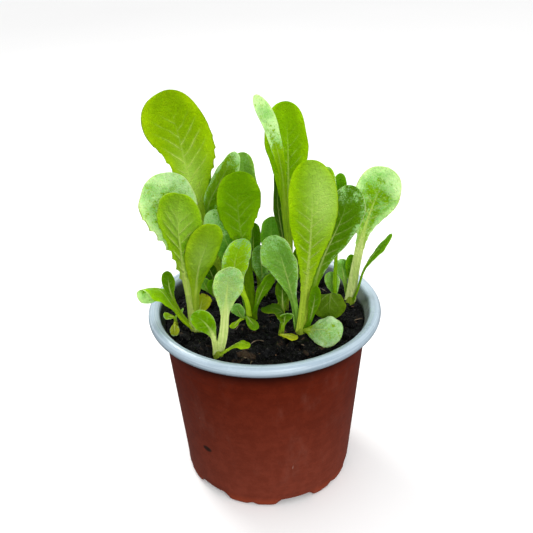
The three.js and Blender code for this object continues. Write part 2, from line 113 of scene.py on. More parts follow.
SEEDLINGS = [
    dict(node="seedling_left", slot="leaf_bright", crown=(-35, -13), stem=2.6, leaves=[
        dict(spine=[(-36, -11, 92), (-38, -10, 125), (-43.5, -2, 153), (-45.5, 4, 170)],
             width=30, turn=-14, blade=0.36, peak=0.7, cup=15, stalk=4,
             tint=LIME, teeth=2.2, down=0.85, heart=0.6, pale_or_shade=0.7, veins=1.3),
        dict(spine=[(-35, -15, 92), (-36, -18, 112), (-38, -22, 138), (-38, -25, 158), (-36.5, -27, 171)],
             width=22, turn=168, blade=0.35, peak=0.72, cup=16, stalk=5,
             tint=LIME, teeth=1.6, down=0.1, pale_or_shade=0.7, veins=2.0, haze=(0.35, 0.0, 0.72)),
        dict(spine=[(-34, -14, 92), (-33.5, -19, 112), (-30, -25, 134), (-25, -28, 148), (-22.5, -29, 157)],
             width=17, turn=190, blade=0.3, peak=0.68, cup=18, stalk=3.5,
             tint=LIME, down=0.0, pale_or_shade=0.35, veins=0.3, haze=(0.35, 0.0, 0.6)),
        dict(spine=[(-36, -14, 92), (-41, -15, 98), (-46, -14, 106), (-51, -12, 113.5),
                    (-55.5, -11, 115), (-57.5, -11, 106.5)],
             width=18.5, turn=60, roll=25, blade=0.3, peak=0.6, cup=-14, stalk=2.4,
             tint=LIME, down=0.9, bare=0.5, heart=0.6, pale_or_shade=0.1, veins=0.3),
        dict(spine=[(-36, -14, 92), (-42, -11, 99), (-46.5, -10, 111), (-47.5, -10, 124)],
             width=6.8, blade=0.5, stalk=1.8, tint=MOSS, down=0.2, pale_or_shade=0.2),
        dict(spine=[(-34, -12, 92), (-33.5, -8.5, 98), (-30.7, -5, 107.5)],
             width=10.5, turn=30, blade=0.25, stalk=2, tint=YELLOW, pale_or_shade=0.2, wither=0.7),
    ]),
    dict(node="seedling_left_edge", slot="leaf_pale", crown=(-45.8, -8), stem=1.2, leaves=[
        dict(spine=[(-46, -8, 92), (-46.5, -8.5, 96), (-51, -11.5, 98.5)],
             width=5.5, turn=80, blade=0.4, stalk=1.4, tint=LIME, down=0.3),
        dict(spine=[(-45.6, -8, 92), (-45.3, -7.5, 96), (-41.5, -5.5, 99.5)],
             width=5, turn=80, blade=0.4, stalk=1.4, tint=SAGE, down=0.3),
        dict(spine=[(-45.8, -8.5, 92), (-45.7, -12, 95), (-45.4, -16.5, 95.5), (-45.2, -20, 92)],
             width=5, blade=0.5, peak=0.55, stalk=1.4, tint=YELLOW, down=0.5),
    ]),
    dict(node="seedling_back_left", slot="leaf_bright", crown=(-24, 19), stem=2.6, leaves=[
        dict(spine=[(-24, 19, 92), (-26, 18, 114), (-33, 17, 143), (-37, 16, 168), (-39.5, 15, 186),
                    (-44.3, 14, 207.2)],
             width=31.5, turn=12, blade=0.38, peak=0.7, skew=0.16, cup=12, stalk=5,
             tint=SPRING, teeth=1.4, pale_or_shade=0.4, veins=1.6, midrib=0.3, haze=(0.8, 0.0, 0.3)),
        dict(spine=[(-24, 17, 92), (-27, 12, 97), (-27, 9, 108)],
             width=6, blade=0.3, stalk=2, tint=GRASS),
        dict(spine=[(-25, 19, 92), (-27, 17, 104), (-30, 16, 114)],
             width=8, blade=0.4, stalk=2, tint=DEEP),
        dict(spine=[(-25, 19, 92), (-30, 15, 98), (-33, 13, 107)],
             width=8, blade=0.4, stalk=2, tint=SAGE),
        dict(spine=[(-23, 20, 92), (-24, 25, 118), (-27, 31, 143), (-29, 34, 155)],
             width=14, turn=165, blade=0.45, stalk=3, tint=GRASS, down=0.2),
        dict(spine=[(-23, 20, 92), (-21, 26, 104), (-22, 32, 118)],
             width=11, turn=150, blade=0.35, stalk=2.4, tint=GRASS),
    ]),
    dict(node="seedling_front", slot="leaf_pale", crown=(-23, -36), stem=2.4, leaves=[
        dict(spine=[(-23, -36, 92), (-20, -37, 103), (-18, -38, 119), (-15, -39, 141)],
             width=15, turn=15, blade=0.45, stalk=4,
             tint=ASH, down=0.5, heart=0.5, pale_or_shade=1.0, veins=0.25, haze=(0.3, 0.0, 0.5)),
        dict(spine=[(-24, -36, 92), (-24, -38, 98), (-25, -40, 107), (-28, -42, 114), (-33, -43, 119)],
             width=10, turn=20, blade=0.35, stalk=2.4, tint=FERN, down=0.25, pale_or_shade=0.9, veins=0.5),
        dict(spine=[(-22, -37, 92), (-18, -39, 96), (-12, -41, 101), (-7, -42, 100)],
             width=7, turn=70, blade=0.3, stalk=1.8, tint=LIME, pale_or_shade=0.3, veins=0.1),
    ]),
    dict(node="seedling_middle", slot="leaf_mid", crown=(-7, -4), stem=2.8, leaves=[
        dict(spine=[(-8, -3, 92), (-13, 0, 118), (-23, 3, 140), (-26, 3, 151), (-19.5, 2, 165),
                    (-10.8, 1, 180)],
             width=12.5, turn=150, blade=0.58, peak=0.55, cup=20, stalk=2.4,
             tint=FERN, down=0.65, heart=0.1, pale_or_shade=-0.2, veins=0.5, midrib=0.5),
        dict(spine=[(-7, -3, 92), (-7, 2, 128), (-7, 8, 153), (-9, 12, 176.2)],
             width=15, turn=-20, blade=0.4, peak=0.74, cup=20, stalk=3,
             tint=SAGE, down=0.25, pale_or_shade=-0.5, veins=0.4),
        dict(spine=[(-7, -6, 92), (-8, -7, 122), (-11, -9, 149), (-11, -11, 166), (-10, -12, 176)],
             width=22, turn=14, blade=0.4, peak=0.7, stalk=4.5,
             tint=FERN, teeth=0.8, pale_or_shade=-0.5, veins=0.4, midrib=0.15),
        dict(spine=[(-8, -4, 92), (-10, -4, 107), (-15, -5, 128), (-20.5, -5, 144), (-24.5, -4, 153)],
             width=17, turn=-8, blade=0.3, stalk=3.5, tint=SAGE, down=0.8, bare=0.5, heart=0.6, pale_or_shade=-0.2,
             veins=0.3),
        dict(spine=[(-8, -6, 92), (-9, -9, 105), (-14, -12, 121), (-13, -14, 133), (-8.5, -14, 142.6)],
             width=14.5, turn=15, blade=0.3, stalk=2.4, tint=BRIGHT, down=0.45, heart=0.3, pale_or_shade=0.2,
             veins=0.8),
        dict(spine=[(-6, -5, 92), (-4, -7, 102), (0, -9, 113), (4, -11, 121)],
             width=8, turn=20, blade=0.25, stalk=2.4, tint=GRASS, down=0.1, pale_or_shade=-0.1),
        dict(spine=[(-8, -5, 92), (-11, -10, 96), (-13, -14, 102), (-14, -16, 108)],
             width=7, blade=0.3, stalk=1.8, tint=SAGE, down=0.4),
        dict(spine=[(-8, -6, 92), (-9, -10, 96), (-7, -14, 95.5), (-4, -18, 93.5)],
             width=5.5, blade=0.3, stalk=1.8, tint=GRASS, down=0.1),
        dict(spine=[(-9, -5, 92), (-12.5, -11, 95), (-17, -16.5, 93.4)],
             width=4.5, turn=120, blade=0.55, stalk=1.6, tint=LIME, down=0.2),
    ]),
    dict(node="seedling_centre_small", slot="leaf_mid", crown=(8, -20), stem=1.7, leaves=[
        dict(spine=[(8, -20, 92), (9, -20, 99), (8.5, -21, 105), (4, -22, 108.5), (-1.5, -22, 107)],
             width=13, turn=75, roll=10, blade=0.2, cup=-10, stalk=2.2,
             tint=DEEP, pale_or_shade=0.2, veins=0.3, midrib=0.3),
        dict(spine=[(8, -20, 92), (9, -21, 98), (10, -23, 104), (11, -26, 107)],
             width=8, turn=10, blade=0.3, stalk=2, tint=GRASS, down=0.3),
        dict(spine=[(7, -21, 92), (8, -24, 94), (12, -26, 94.5), (16, -26.5, 93.5)],
             width=5.5, turn=70, blade=0.25, stalk=1.6, tint=YELLOW),
        dict(spine=[(8, -19, 92), (9, -16, 100), (9, -14, 110), (9, -13, 119)],
             width=7, blade=0.35, stalk=2, tint=DEEP),
    ]),
    dict(node="seedling_front_right", slot="leaf_bright", crown=(18, -16), stem=3, leaves=[
        dict(spine=[(18, -17, 92), (20, -20, 117), (22, -24, 144), (22.5, -27, 170), (20.5, -27, 185.6)],
             width=24, turn=10, blade=0.2, peak=0.7, cup=16, stalk=4.4,
             tint=FRESH, teeth=0.4, pale_or_shade=0.4, veins=1.3, haze=(0.8, 0.45, 0.74)),
        dict(spine=[(17, -16, 92), (15, -17, 107), (12, -19, 121), (8, -20, 137), (5, -20, 147)],
             width=19, turn=-22, blade=0.25, peak=0.7, cup=18, stalk=3.5,
             tint=SAGE, down=0.5, heart=0.25, pale_or_shade=0.0, veins=0.7),
        dict(spine=[(19, -17, 92), (23, -22, 95), (29, -27, 98), (37.5, -30, 98)],
             width=17, turn=60, roll=35, blade=0.08, peak=0.62, stalk=2.6,
             tint=LIME, down=0.75, heart=0.75, pale_or_shade=0.3, veins=0.5),
        dict(spine=[(20, -15, 92), (23, -14, 110), (29, -10, 128), (38, -7, 148), (43, -4, 164)],
             width=21, turn=18, blade=0.25, peak=0.7, cup=16, stalk=4,
             tint=MOSS, down=0.4, heart=0.0, pale_or_shade=0.1, veins=0.8),
        dict(spine=[(20, -17, 92), (22, -20, 99), (24, -22, 110), (25, -22, 120)],
             width=6, blade=0.25, stalk=2.4, tint=MOSS, pale_or_shade=0.0),
        dict(spine=[(18, -14, 92), (22, -10, 118), (29, -5, 149), (31.5, -2, 173)],
             width=11, blade=0.4, stalk=3, tint=LIME, down=0.4, pale_or_shade=0.1),
    ]),
    dict(node="seedling_back_middle", slot="leaf_bright", crown=(10, 7), stem=2.8, leaves=[
        dict(spine=[(10, 8, 92), (13, 10, 118), (13.5, 13, 150), (13.5, 15, 180), (12.5, 16, 199.5)],
             width=22.5, turn=-16, blade=0.36, peak=0.72, cup=16, stalk=4.5,
             tint=FRESH, pale_or_shade=0.4, veins=0.8),
        dict(spine=[(10, 6, 92), (13, 6, 120), (11, 5, 150), (9, 3, 175), (3.5, 0, 196), (-2, -3, 208)],
             width=9, turn=40, blade=0.45, peak=0.75, cup=14, stalk=4,
             tint=LIME, down=0.95, bare=0.42, heart=0.6, pale_or_shade=0.3, veins=0.1, midrib=0.3),
        dict(spine=[(9, 8, 92), (11, 13, 118), (8, 20, 146), (9, 24, 167)],
             width=9, turn=50, blade=0.3, stalk=2.6, tint=DEEP, down=0.1, pale_or_shade=0.0),
        dict(spine=[(11, 8, 92), (17, 13, 105), (23, 18, 122)],
             width=12, turn=-40, blade=0.35, stalk=2.6, tint=MOSS),
    ]),
    dict(node="seedling_back", slot="leaf_mid", crown=(-1, 20), stem=2.4, leaves=[
        dict(spine=[(0, 20, 92), (1, 22, 105), (4, 24, 122), (5, 25, 136)],
             width=14, turn=20, blade=0.4, stalk=2.6, tint=SAGE, down=0.15),
        dict(spine=[(-2, 19, 92), (-3, 16, 108), (-5, 14, 124), (-4, 13, 138)],
             width=8, blade=0.4, stalk=2.2, tint=MOSS, down=0.2),
        dict(spine=[(-1, 19, 92), (0, 15, 98), (-1, 12, 110), (-1.5, 10, 127)],
             width=10, blade=0.25, stalk=2, tint=SAGE, down=0.5, heart=0.6),
        dict(spine=[(0, 19, 92), (1, 15, 97), (2, 12, 104), (3, 10, 111)],
             width=8, blade=0.35, stalk=2, tint=SAGE, down=0.5),
        dict(spine=[(-1, 21, 92), (-4, 27, 104), (-6, 33, 116)],
             width=12, turn=170, blade=0.35, stalk=2.4, tint=GRASS),
        dict(spine=[(0, 21, 92), (6, 26, 100), (12, 31, 108)],
             width=10, turn=140, blade=0.35, stalk=2.2, tint=GRASS),
    ]),
    dict(node="seedling_right", slot="leaf_pale", crown=(46, 11), stem=2.5, leaves=[
        dict(spine=[(46, 11, 92), (48, 10, 112), (52, 7, 138), (57, 4, 157), (61, 2, 169.7)],
             width=23, turn=-16, blade=0.36, peak=0.74, cup=16, stalk=4.5,
             tint=LIME, teeth=0.4, down=0.95, heart=0.35, pale_or_shade=1.0, veins=1.2, midrib=1.0),
        dict(spine=[(47, 10, 92), (49, 7, 100), (52, 4, 115), (58, 1, 127), (64, 0, 136)],
             width=7, turn=75, roll=20, blade=0.4, stalk=1.6, tint=GRASS, down=0.15, pale_or_shade=0.1),
        dict(spine=[(46, 12, 92), (46, 13, 104), (46, 14, 118)],
             width=6, blade=0.3, stalk=2, tint=GRASS),
        dict(spine=[(45, 12, 92), (43, 15, 102), (41, 17, 114)],
             width=8, blade=0.35, stalk=2, tint=SAGE, down=0.5),
    ]),
    dict(node="seedling_right_low", slot="leaf_mid", crown=(36, -3), stem=2.2, leaves=[
        dict(spine=[(36, -3, 92), (35.5, -4, 100), (34.5, -7, 106.5), (33.2, -11, 108),
                    (32.3, -15, 103.5), (32, -16.5, 97)],
             width=17.5, blade=0.3, stalk=2.2, tint=DEEP, veins=0.3, midrib=0.2),
        dict(spine=[(36, -2, 92), (37, 3, 98), (36, 5, 105), (34, 6, 112)],
             width=8, blade=0.35, stalk=1.8, tint=SAGE, down=0.4),
        dict(spine=[(36, -2, 92), (37, 4, 120), (38, 8, 150), (39, 10, 165)],
             width=8, blade=0.6, stalk=1.8, tint=GRASS, down=0.2, pale_or_shade=0.1),
    ]),
]


# Mesh helpers

def deselect_all():
    if bpy.context.object and bpy.context.object.mode != "OBJECT":
        bpy.ops.object.mode_set(mode="OBJECT")
    bpy.ops.object.select_all(action="DESELECT")


def positions(mesh):
    points = np.empty(len(mesh.vertices) * 3)
    mesh.vertices.foreach_get("co", points)
    return points.reshape(-1, 3)


def set_positions(mesh, points):
    mesh.vertices.foreach_set("co", np.ascontiguousarray(points).ravel())
    mesh.update()


def set_values(mesh, **named):
    for name, values in named.items():
        attribute = mesh.attributes.new(name, "FLOAT", "POINT")
        values = np.broadcast_to(np.asarray(values, dtype=np.float32), len(mesh.vertices))
        attribute.data.foreach_set("value", np.ascontiguousarray(values))


def set_colour(mesh, name, colour):
    attribute = mesh.attributes.new(name, "FLOAT_COLOR", "POINT")
    attribute.data.foreach_set("color", np.tile([*colour, 1.0], len(mesh.vertices)).astype(np.float32))


def place(points):
    """Millimetres from the pot's axis to metres in the frame."""
    return (np.asarray(points, dtype=float) + np.array(POT_AXIS)) * MM


def weld(threshold=1e-7):
    bpy.ops.object.mode_set(mode="EDIT")
    bpy.ops.mesh.select_all(action="SELECT")
    bpy.ops.mesh.remove_doubles(threshold=threshold)
    bpy.ops.mesh.normals_make_consistent(inside=False)
    bpy.ops.object.mode_set(mode="OBJECT")


def join(objects, name):
    deselect_all()
    for piece in objects:
        piece.select_set(True)
    bpy.context.view_layer.objects.active = objects[0]
    bpy.ops.object.join()
    joined = bpy.context.object
    joined.name = name
    joined.data.name = name
    return joined


def finish_piece(piece, materials, slot, *nodes):
    piece.data.materials.clear()
    for material in materials:
        piece.data.materials.append(material)
    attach(piece, "root")
    if nodes:
        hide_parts(*nodes)


def turn_rings(rings):
    """Extrudes the active filled circle through (radius, height) rings round the pot's axis."""
    bpy.ops.object.mode_set(mode="EDIT")
    bpy.ops.mesh.select_all(action="SELECT")
    for (radius, height), (next_radius, next_height) in zip(rings, rings[1:]):
        bpy.ops.mesh.extrude_region_move(TRANSFORM_OT_translate={"value": (0, 0, next_height - height)})
        ratio = next_radius / radius
        bpy.ops.transform.resize(value=(ratio, ratio, 1), center_override=(0, 0, next_height))
    bpy.ops.mesh.select_all(action="SELECT")
    bpy.ops.mesh.normals_make_consistent(inside=False)
    bpy.ops.object.mode_set(mode="OBJECT")


def turned_piece(name, rings, sides):
    deselect_all()
    radius, height = rings[0]
    bpy.ops.mesh.primitive_circle_add(vertices=sides, radius=radius, fill_type="NGON",
                                      location=(0, 0, height))
    bpy.ops.object.transform_apply()
    piece = bpy.context.object
    piece.name = name
    turn_rings(rings)
    return piece


# Shader helpers

def new_material(name):
    material = bpy.data.materials.new(name)
    material.use_nodes = True
    tree = material.node_tree
    tree.nodes.clear()
    return material, tree


def add(tree, kind, inputs=None, **settings):
    node = tree.nodes.new("ShaderNode" + kind)
    for key, value in settings.items():
        setattr(node, key, value)
    for key, value in (inputs or {}).items():
        if isinstance(value, bpy.types.NodeSocket):
            tree.links.new(value, node.inputs[key])
        else:
            node.inputs[key].default_value = value
    return node


def calc(tree, operation, *values, clamp=False):
    node = add(tree, "Math", dict(enumerate(values)), operation=operation, use_clamp=clamp)
    return node.outputs[0]


def times(tree, *values):
    product = values[0]
    for value in values[1:]:
        product = calc(tree, "MULTIPLY", product, value)
    return product


def total(tree, *values):
    whole = values[0]
    for value in values[1:]:
        whole = calc(tree, "ADD", whole, value)
    return whole


def smooth(tree, value, low, high, to_low=0.0, to_high=1.0):
    node = add(tree, "MapRange", {0: value, 1: low, 2: high, 3: to_low, 4: to_high},
               interpolation_type="SMOOTHSTEP")
    return node.outputs[0]


def tint(tree, factor, first, second, blend="MIX"):
    node = add(tree, "Mix", {0: factor, 6: first, 7: second}, data_type="RGBA", blend_type=blend)
    return node.outputs[2]


def noise(tree, vector, scale, detail=3.0, roughness=0.55, distortion=0.0):
    node = add(tree, "TexNoise", {"Vector": vector, "Scale": scale, "Detail": detail,
                                  "Roughness": roughness, "Distortion": distortion})
    return node.outputs[0]


def value_of(tree, name):
    return add(tree, "Attribute", attribute_name=name).outputs["Fac"]


def bumped(tree, height, distance, strength=1.0):
    return add(tree, "Bump", {"Height": height, "Distance": distance, "Strength": strength}).outputs[0]


def stretched(tree, vector, scale, rotation=(0, 0, 0)):
    return add(tree, "Mapping", {"Vector": vector, "Scale": scale, "Rotation": rotation}).outputs[0]


def rgba(*colour):
    return (*colour, 1.0)


def close_material(tree, shader):
    add(tree, "OutputMaterial", {"Surface": shader})


# Leaf material

def lettuce_leaf():
    """Thin translucent leaf: pale side veins and midrib, fine net, a speckled painted sheen and soft
    patches of painted sheen, a painted glow toward the margin and along its edge, and a pale stalk, or one
    darker than the blade as painted shade.
    """
    material, tree = new_material("lettuce_leaf")
    uv = add(tree, "UVMap", uv_map="leaf_map").outputs[0]
    split = add(tree, "SeparateXYZ", {0: uv})
    across = times(tree, calc(tree, "SUBTRACT", split.outputs[0], 0.5), MAP_WIDTH)
    along = times(tree, calc(tree, "SUBTRACT", split.outputs[1], 0.5), MAP_LENGTH)
    here = add(tree, "CombineXYZ", {0: across, 1: along, 2: value_of(tree, "draw")}).outputs[0]
    stalk = value_of(tree, "stalk")
    under = value_of(tree, "under")
    margin = value_of(tree, "margin")
    wither = value_of(tree, "wither")
    own = add(tree, "Attribute", attribute_name="tint").outputs["Color"]
    stem = add(tree, "Attribute", attribute_name="stem").outputs["Color"]

    patches = noise(tree, here, 0.10, 4.0, 0.6)
    blotch = noise(tree, here, 0.28, 4.0, 0.65)
    speckle = noise(tree, here, 1.2, 2.0, 0.6)
    grain = noise(tree, here, 2.4, 3.0, 0.6)
    stripes = noise(tree, stretched(tree, here, (1.4, 0.05, 1.0)), 1.0, 3.0, 0.5)

    left = calc(tree, "LESS_THAN", across, 0.0)
    wander = times(tree, calc(tree, "SUBTRACT", noise(tree, here, 0.10, 2.0), 0.5), 0.4)
    step = total(tree, value_of(tree, "climb"), times(tree, left, SIDE_SHIFT), wander)
    from_vein = calc(tree, "PINGPONG", step, 0.5)
    core = calc(tree, "SUBTRACT", 1.0, smooth(tree, from_vein, 0.005, 0.06))
    band = calc(tree, "SUBTRACT", 1.0, smooth(tree, from_vein, 0.0, 0.26))
    broken = smooth(tree, noise(tree, here, 0.22, 2.0), 0.34, 0.62, 0.25, 1.0)
    vein = total(tree, times(tree, core, 0.75), times(tree, band, 0.25))
    vein = times(tree, vein, value_of(tree, "veined"), broken)
    away = calc(tree, "ABSOLUTE", across)
    rib_width = value_of(tree, "rib")
    rib = calc(tree, "SUBTRACT", 1.0, smooth(tree, away, times(tree, rib_width, 0.3), rib_width))
    rib = times(tree, rib, value_of(tree, "ribbed"))
    net = add(tree, "TexVoronoi", {"Vector": here, "Scale": 0.7, "Randomness": 1.0},
              feature="DISTANCE_TO_EDGE").outputs["Distance"]
    net_line = calc(tree, "SUBTRACT", 1.0, smooth(tree, net, 0.02, 0.13))

    mottle_and_glow = tint(tree, smooth(tree, patches, 0.3, 0.7, 0.0, 0.4), own, rgba(0.72, 0.80, 0.7), "MULTIPLY")
    mottle_and_glow = tint(tree, times(tree, under, 0.12), mottle_and_glow, rgba(0.36, 0.52, 0.03))
    light_vein = tint(tree, 0.85, own, rgba(0.84, 0.95, 0.34))
    mottle_and_glow = tint(tree, smooth(tree, grain, 0.35, 0.65, 0.0, 0.25), mottle_and_glow, rgba(0.62, 0.72, 0.6),
                   "MULTIPLY")
    # Painted glow of light through the blade, growing toward the margin
    mottle_and_glow = tint(tree, smooth(tree, margin, 0.45, 0.95, 0.0, 0.8), mottle_and_glow, rgba(1.45, 1.3, 1.0),
                   "MULTIPLY")
    blade = tint(tree, times(tree, net_line, 0.35), mottle_and_glow, rgba(1.5, 1.3, 3.0), "MULTIPLY")
    # A soft pale patch of painted sheen
    haze = times(tree, value_of(tree, "haze"), smooth(tree, grain, 0.2, 0.7, 0.75, 1.0))
    blade = tint(tree, haze, blade, rgba(0.66, 0.86, 0.26))
    # A speckled painted sheen: the pale sky's reflection painted into the colour, whiter in patches
    down = value_of(tree, "down")
    fleck = total(tree, times(tree, calc(tree, "SUBTRACT", blotch, 0.5), 2.2),
                  times(tree, calc(tree, "SUBTRACT", speckle, 0.5), 1.4))
    cover = smooth(tree, total(tree, down, times(tree, fleck, smooth(tree, down, 0.05, 0.4))), 0.2, 0.7)
    whiter = smooth(tree, total(tree, patches, times(tree, down, 0.4)), 0.6, 0.95)
    sheen_colour = tint(tree, whiter, rgba(0.38, 0.72, 0.24), rgba(0.78, 1.0, 0.72))
    sheen_colour = tint(tree, times(tree, net_line, 0.35), sheen_colour, rgba(0.95, 1.0, 0.75))
    blade = tint(tree, times(tree, cover, 0.9), blade, sheen_colour)
    blade = tint(tree, calc(tree, "MAXIMUM", times(tree, vein, 0.9), times(tree, rib, 0.85)), blade,
                 light_vein)
    # A thin painted rim light along the leaf's edge, mint where the painted sheen is
    edge = smooth(tree, margin, 0.93, 0.985)
    glowing_edge = tint(tree, 0.45, own, rgba(0.66, 0.82, 0.03))
    edge_glow_colour = tint(tree, smooth(tree, down, 0.0, 0.4), glowing_edge, rgba(0.84, 0.98, 0.52))
    blade = tint(tree, times(tree, edge, 0.85), blade, edge_glow_colour)
    withered = total(tree, wither, times(tree, calc(tree, "SUBTRACT", speckle, 0.5), 0.9))
    brown = smooth(tree, withered, 0.5, 0.75)
    blade = tint(tree, brown, blade, rgba(0.20, 0.10, 0.02))
    stem = tint(tree, smooth(tree, stripes, 0.42, 0.60, 0.0, 0.6), stem, rgba(0.60, 0.76, 0.35), "MULTIPLY")
    colour = tint(tree, stalk, blade, stem)

    ridge = times(tree, total(tree, vein, rib), 1.4)
    relief = total(tree, ridge, times(tree, net_line, -0.6), times(tree, grain, 0.7),
                   times(tree, blotch, 3.0), times(tree, stripes, stalk, 2.5))
    normal = bumped(tree, relief, 0.0004, 0.9)
    gloss = smooth(tree, grain, 0.3, 0.7, 0.36, 0.5)
    surface = add(tree, "BsdfPrincipled", {"Base Color": colour, "Roughness": gloss, "Normal": normal,
                                           "Specular IOR Level": 0.05})
    glow_colour = tint(tree, 0.8, colour, rgba(1.25, 1.25, 0.35), "MULTIPLY")
    glow = add(tree, "BsdfTranslucent", {"Color": glow_colour, "Normal": normal})
    share = smooth(tree, stalk, 0.0, 1.0, 0.42, 0.18)
    both = add(tree, "MixShader", {0: share, 1: surface.outputs[0], 2: glow.outputs[0]})
    close_material(tree, both.outputs[0])
    return material


# Leaves

def smooth_spine(points, samples=400):
    """A centripetal Catmull-Rom curve through the points, and its length at each sample."""
    points = [np.array(p, dtype=float) for p in points]
    points = [2 * points[0] - points[1]] + points + [2 * points[-1] - points[-2]]
    curve = []
    for p0, p1, p2, p3 in zip(points, points[1:], points[2:], points[3:]):
        d0, d1, d2 = (np.linalg.norm(b - a) ** 0.5 for a, b in ((p0, p1), (p1, p2), (p2, p3)))
        t1 = ((p1 - p0) / d0 - (p2 - p0) / (d0 + d1) + (p2 - p1) / d1) * d1
        t2 = ((p2 - p1) / d1 - (p3 - p1) / (d1 + d2) + (p3 - p2) / d2) * d1
        s = np.linspace(0, 1, samples // (len(points) - 3), endpoint=False)[:, None]
        curve.append((2 * s**3 - 3 * s**2 + 1) * p1 + (s**3 - 2 * s**2 + s) * t1
                     + (3 * s**2 - 2 * s**3) * p2 + (s**3 - s**2) * t2)
    curve = np.concatenate(curve + [points[-2][None]])
    length = np.concatenate([[0], np.cumsum(np.linalg.norm(np.diff(curve, axis=0), axis=1))])
    return curve, length


def unit(vectors):
    return vectors / np.linalg.norm(vectors, axis=-1, keepdims=True)


def turned_about(vectors, axes, angle):
    cosine, sine = math.cos(angle), math.sin(angle)
    dots = (vectors * axes).sum(-1, keepdims=True)
    return vectors * cosine + np.cross(axes, vectors) * sine + axes * dots * (1 - cosine)


def smoothstep(value, low, high):
    share = np.clip((value - low) / (high - low), 0, 1)
    return share * share * (3 - 2 * share)


def spoon(along, peak):
    """Half the blade's width from 0 at its base, through 1 at the peak, to a blunt tip."""
    power = math.log(0.5) / np.log(peak)
    rise = np.sin(np.pi * np.clip(along, 0, 1) ** power).clip(0, 1)
    return np.where(along < peak, rise, rise**0.43)


def leaf_shares(width):
    """A grid, and each point's shares: across, on the upper face, up the stalk and along the blade."""
    size = min(1.0, width / 22)
    columns = 2 * int(9 + 11 * size)
    rows = int(42 + 66 * size)
    deselect_all()
    bpy.ops.mesh.primitive_grid_add(x_subdivisions=2 * columns, y_subdivisions=rows, size=2)
    piece = bpy.context.object
    grid = positions(piece.data)
    round_share = (grid[:, 0] + 1) / 2
    row_share = (grid[:, 1] + 1) / 2
    upper = round_share <= 0.5
    column = np.where(upper, 4 * round_share - 1, 3 - 4 * round_share)
    column = np.sign(column) * np.abs(column) ** 1.1
    stalk_rows = 0.22
    on_stalk = np.clip(row_share / stalk_rows, 0, 1)
    in_blade = np.clip((row_share - stalk_rows) / (1 - stalk_rows), 0, 1)
    return piece, column, upper, on_stalk, 1 - (1 - in_blade) ** 1.5


def stem_colour(tint, pale_or_shade):
    """The stalk's colour: darker than the blade's where the paleness is below 0, as painted shade, and near
    white where it is 1.
    """
    own = np.array(tint) * min(1.0, 1 + pale_or_shade)
    share = max(0.0, pale_or_shade)
    return own + (np.array(PALE_STEM) - own) * np.array([share, share, share**2])


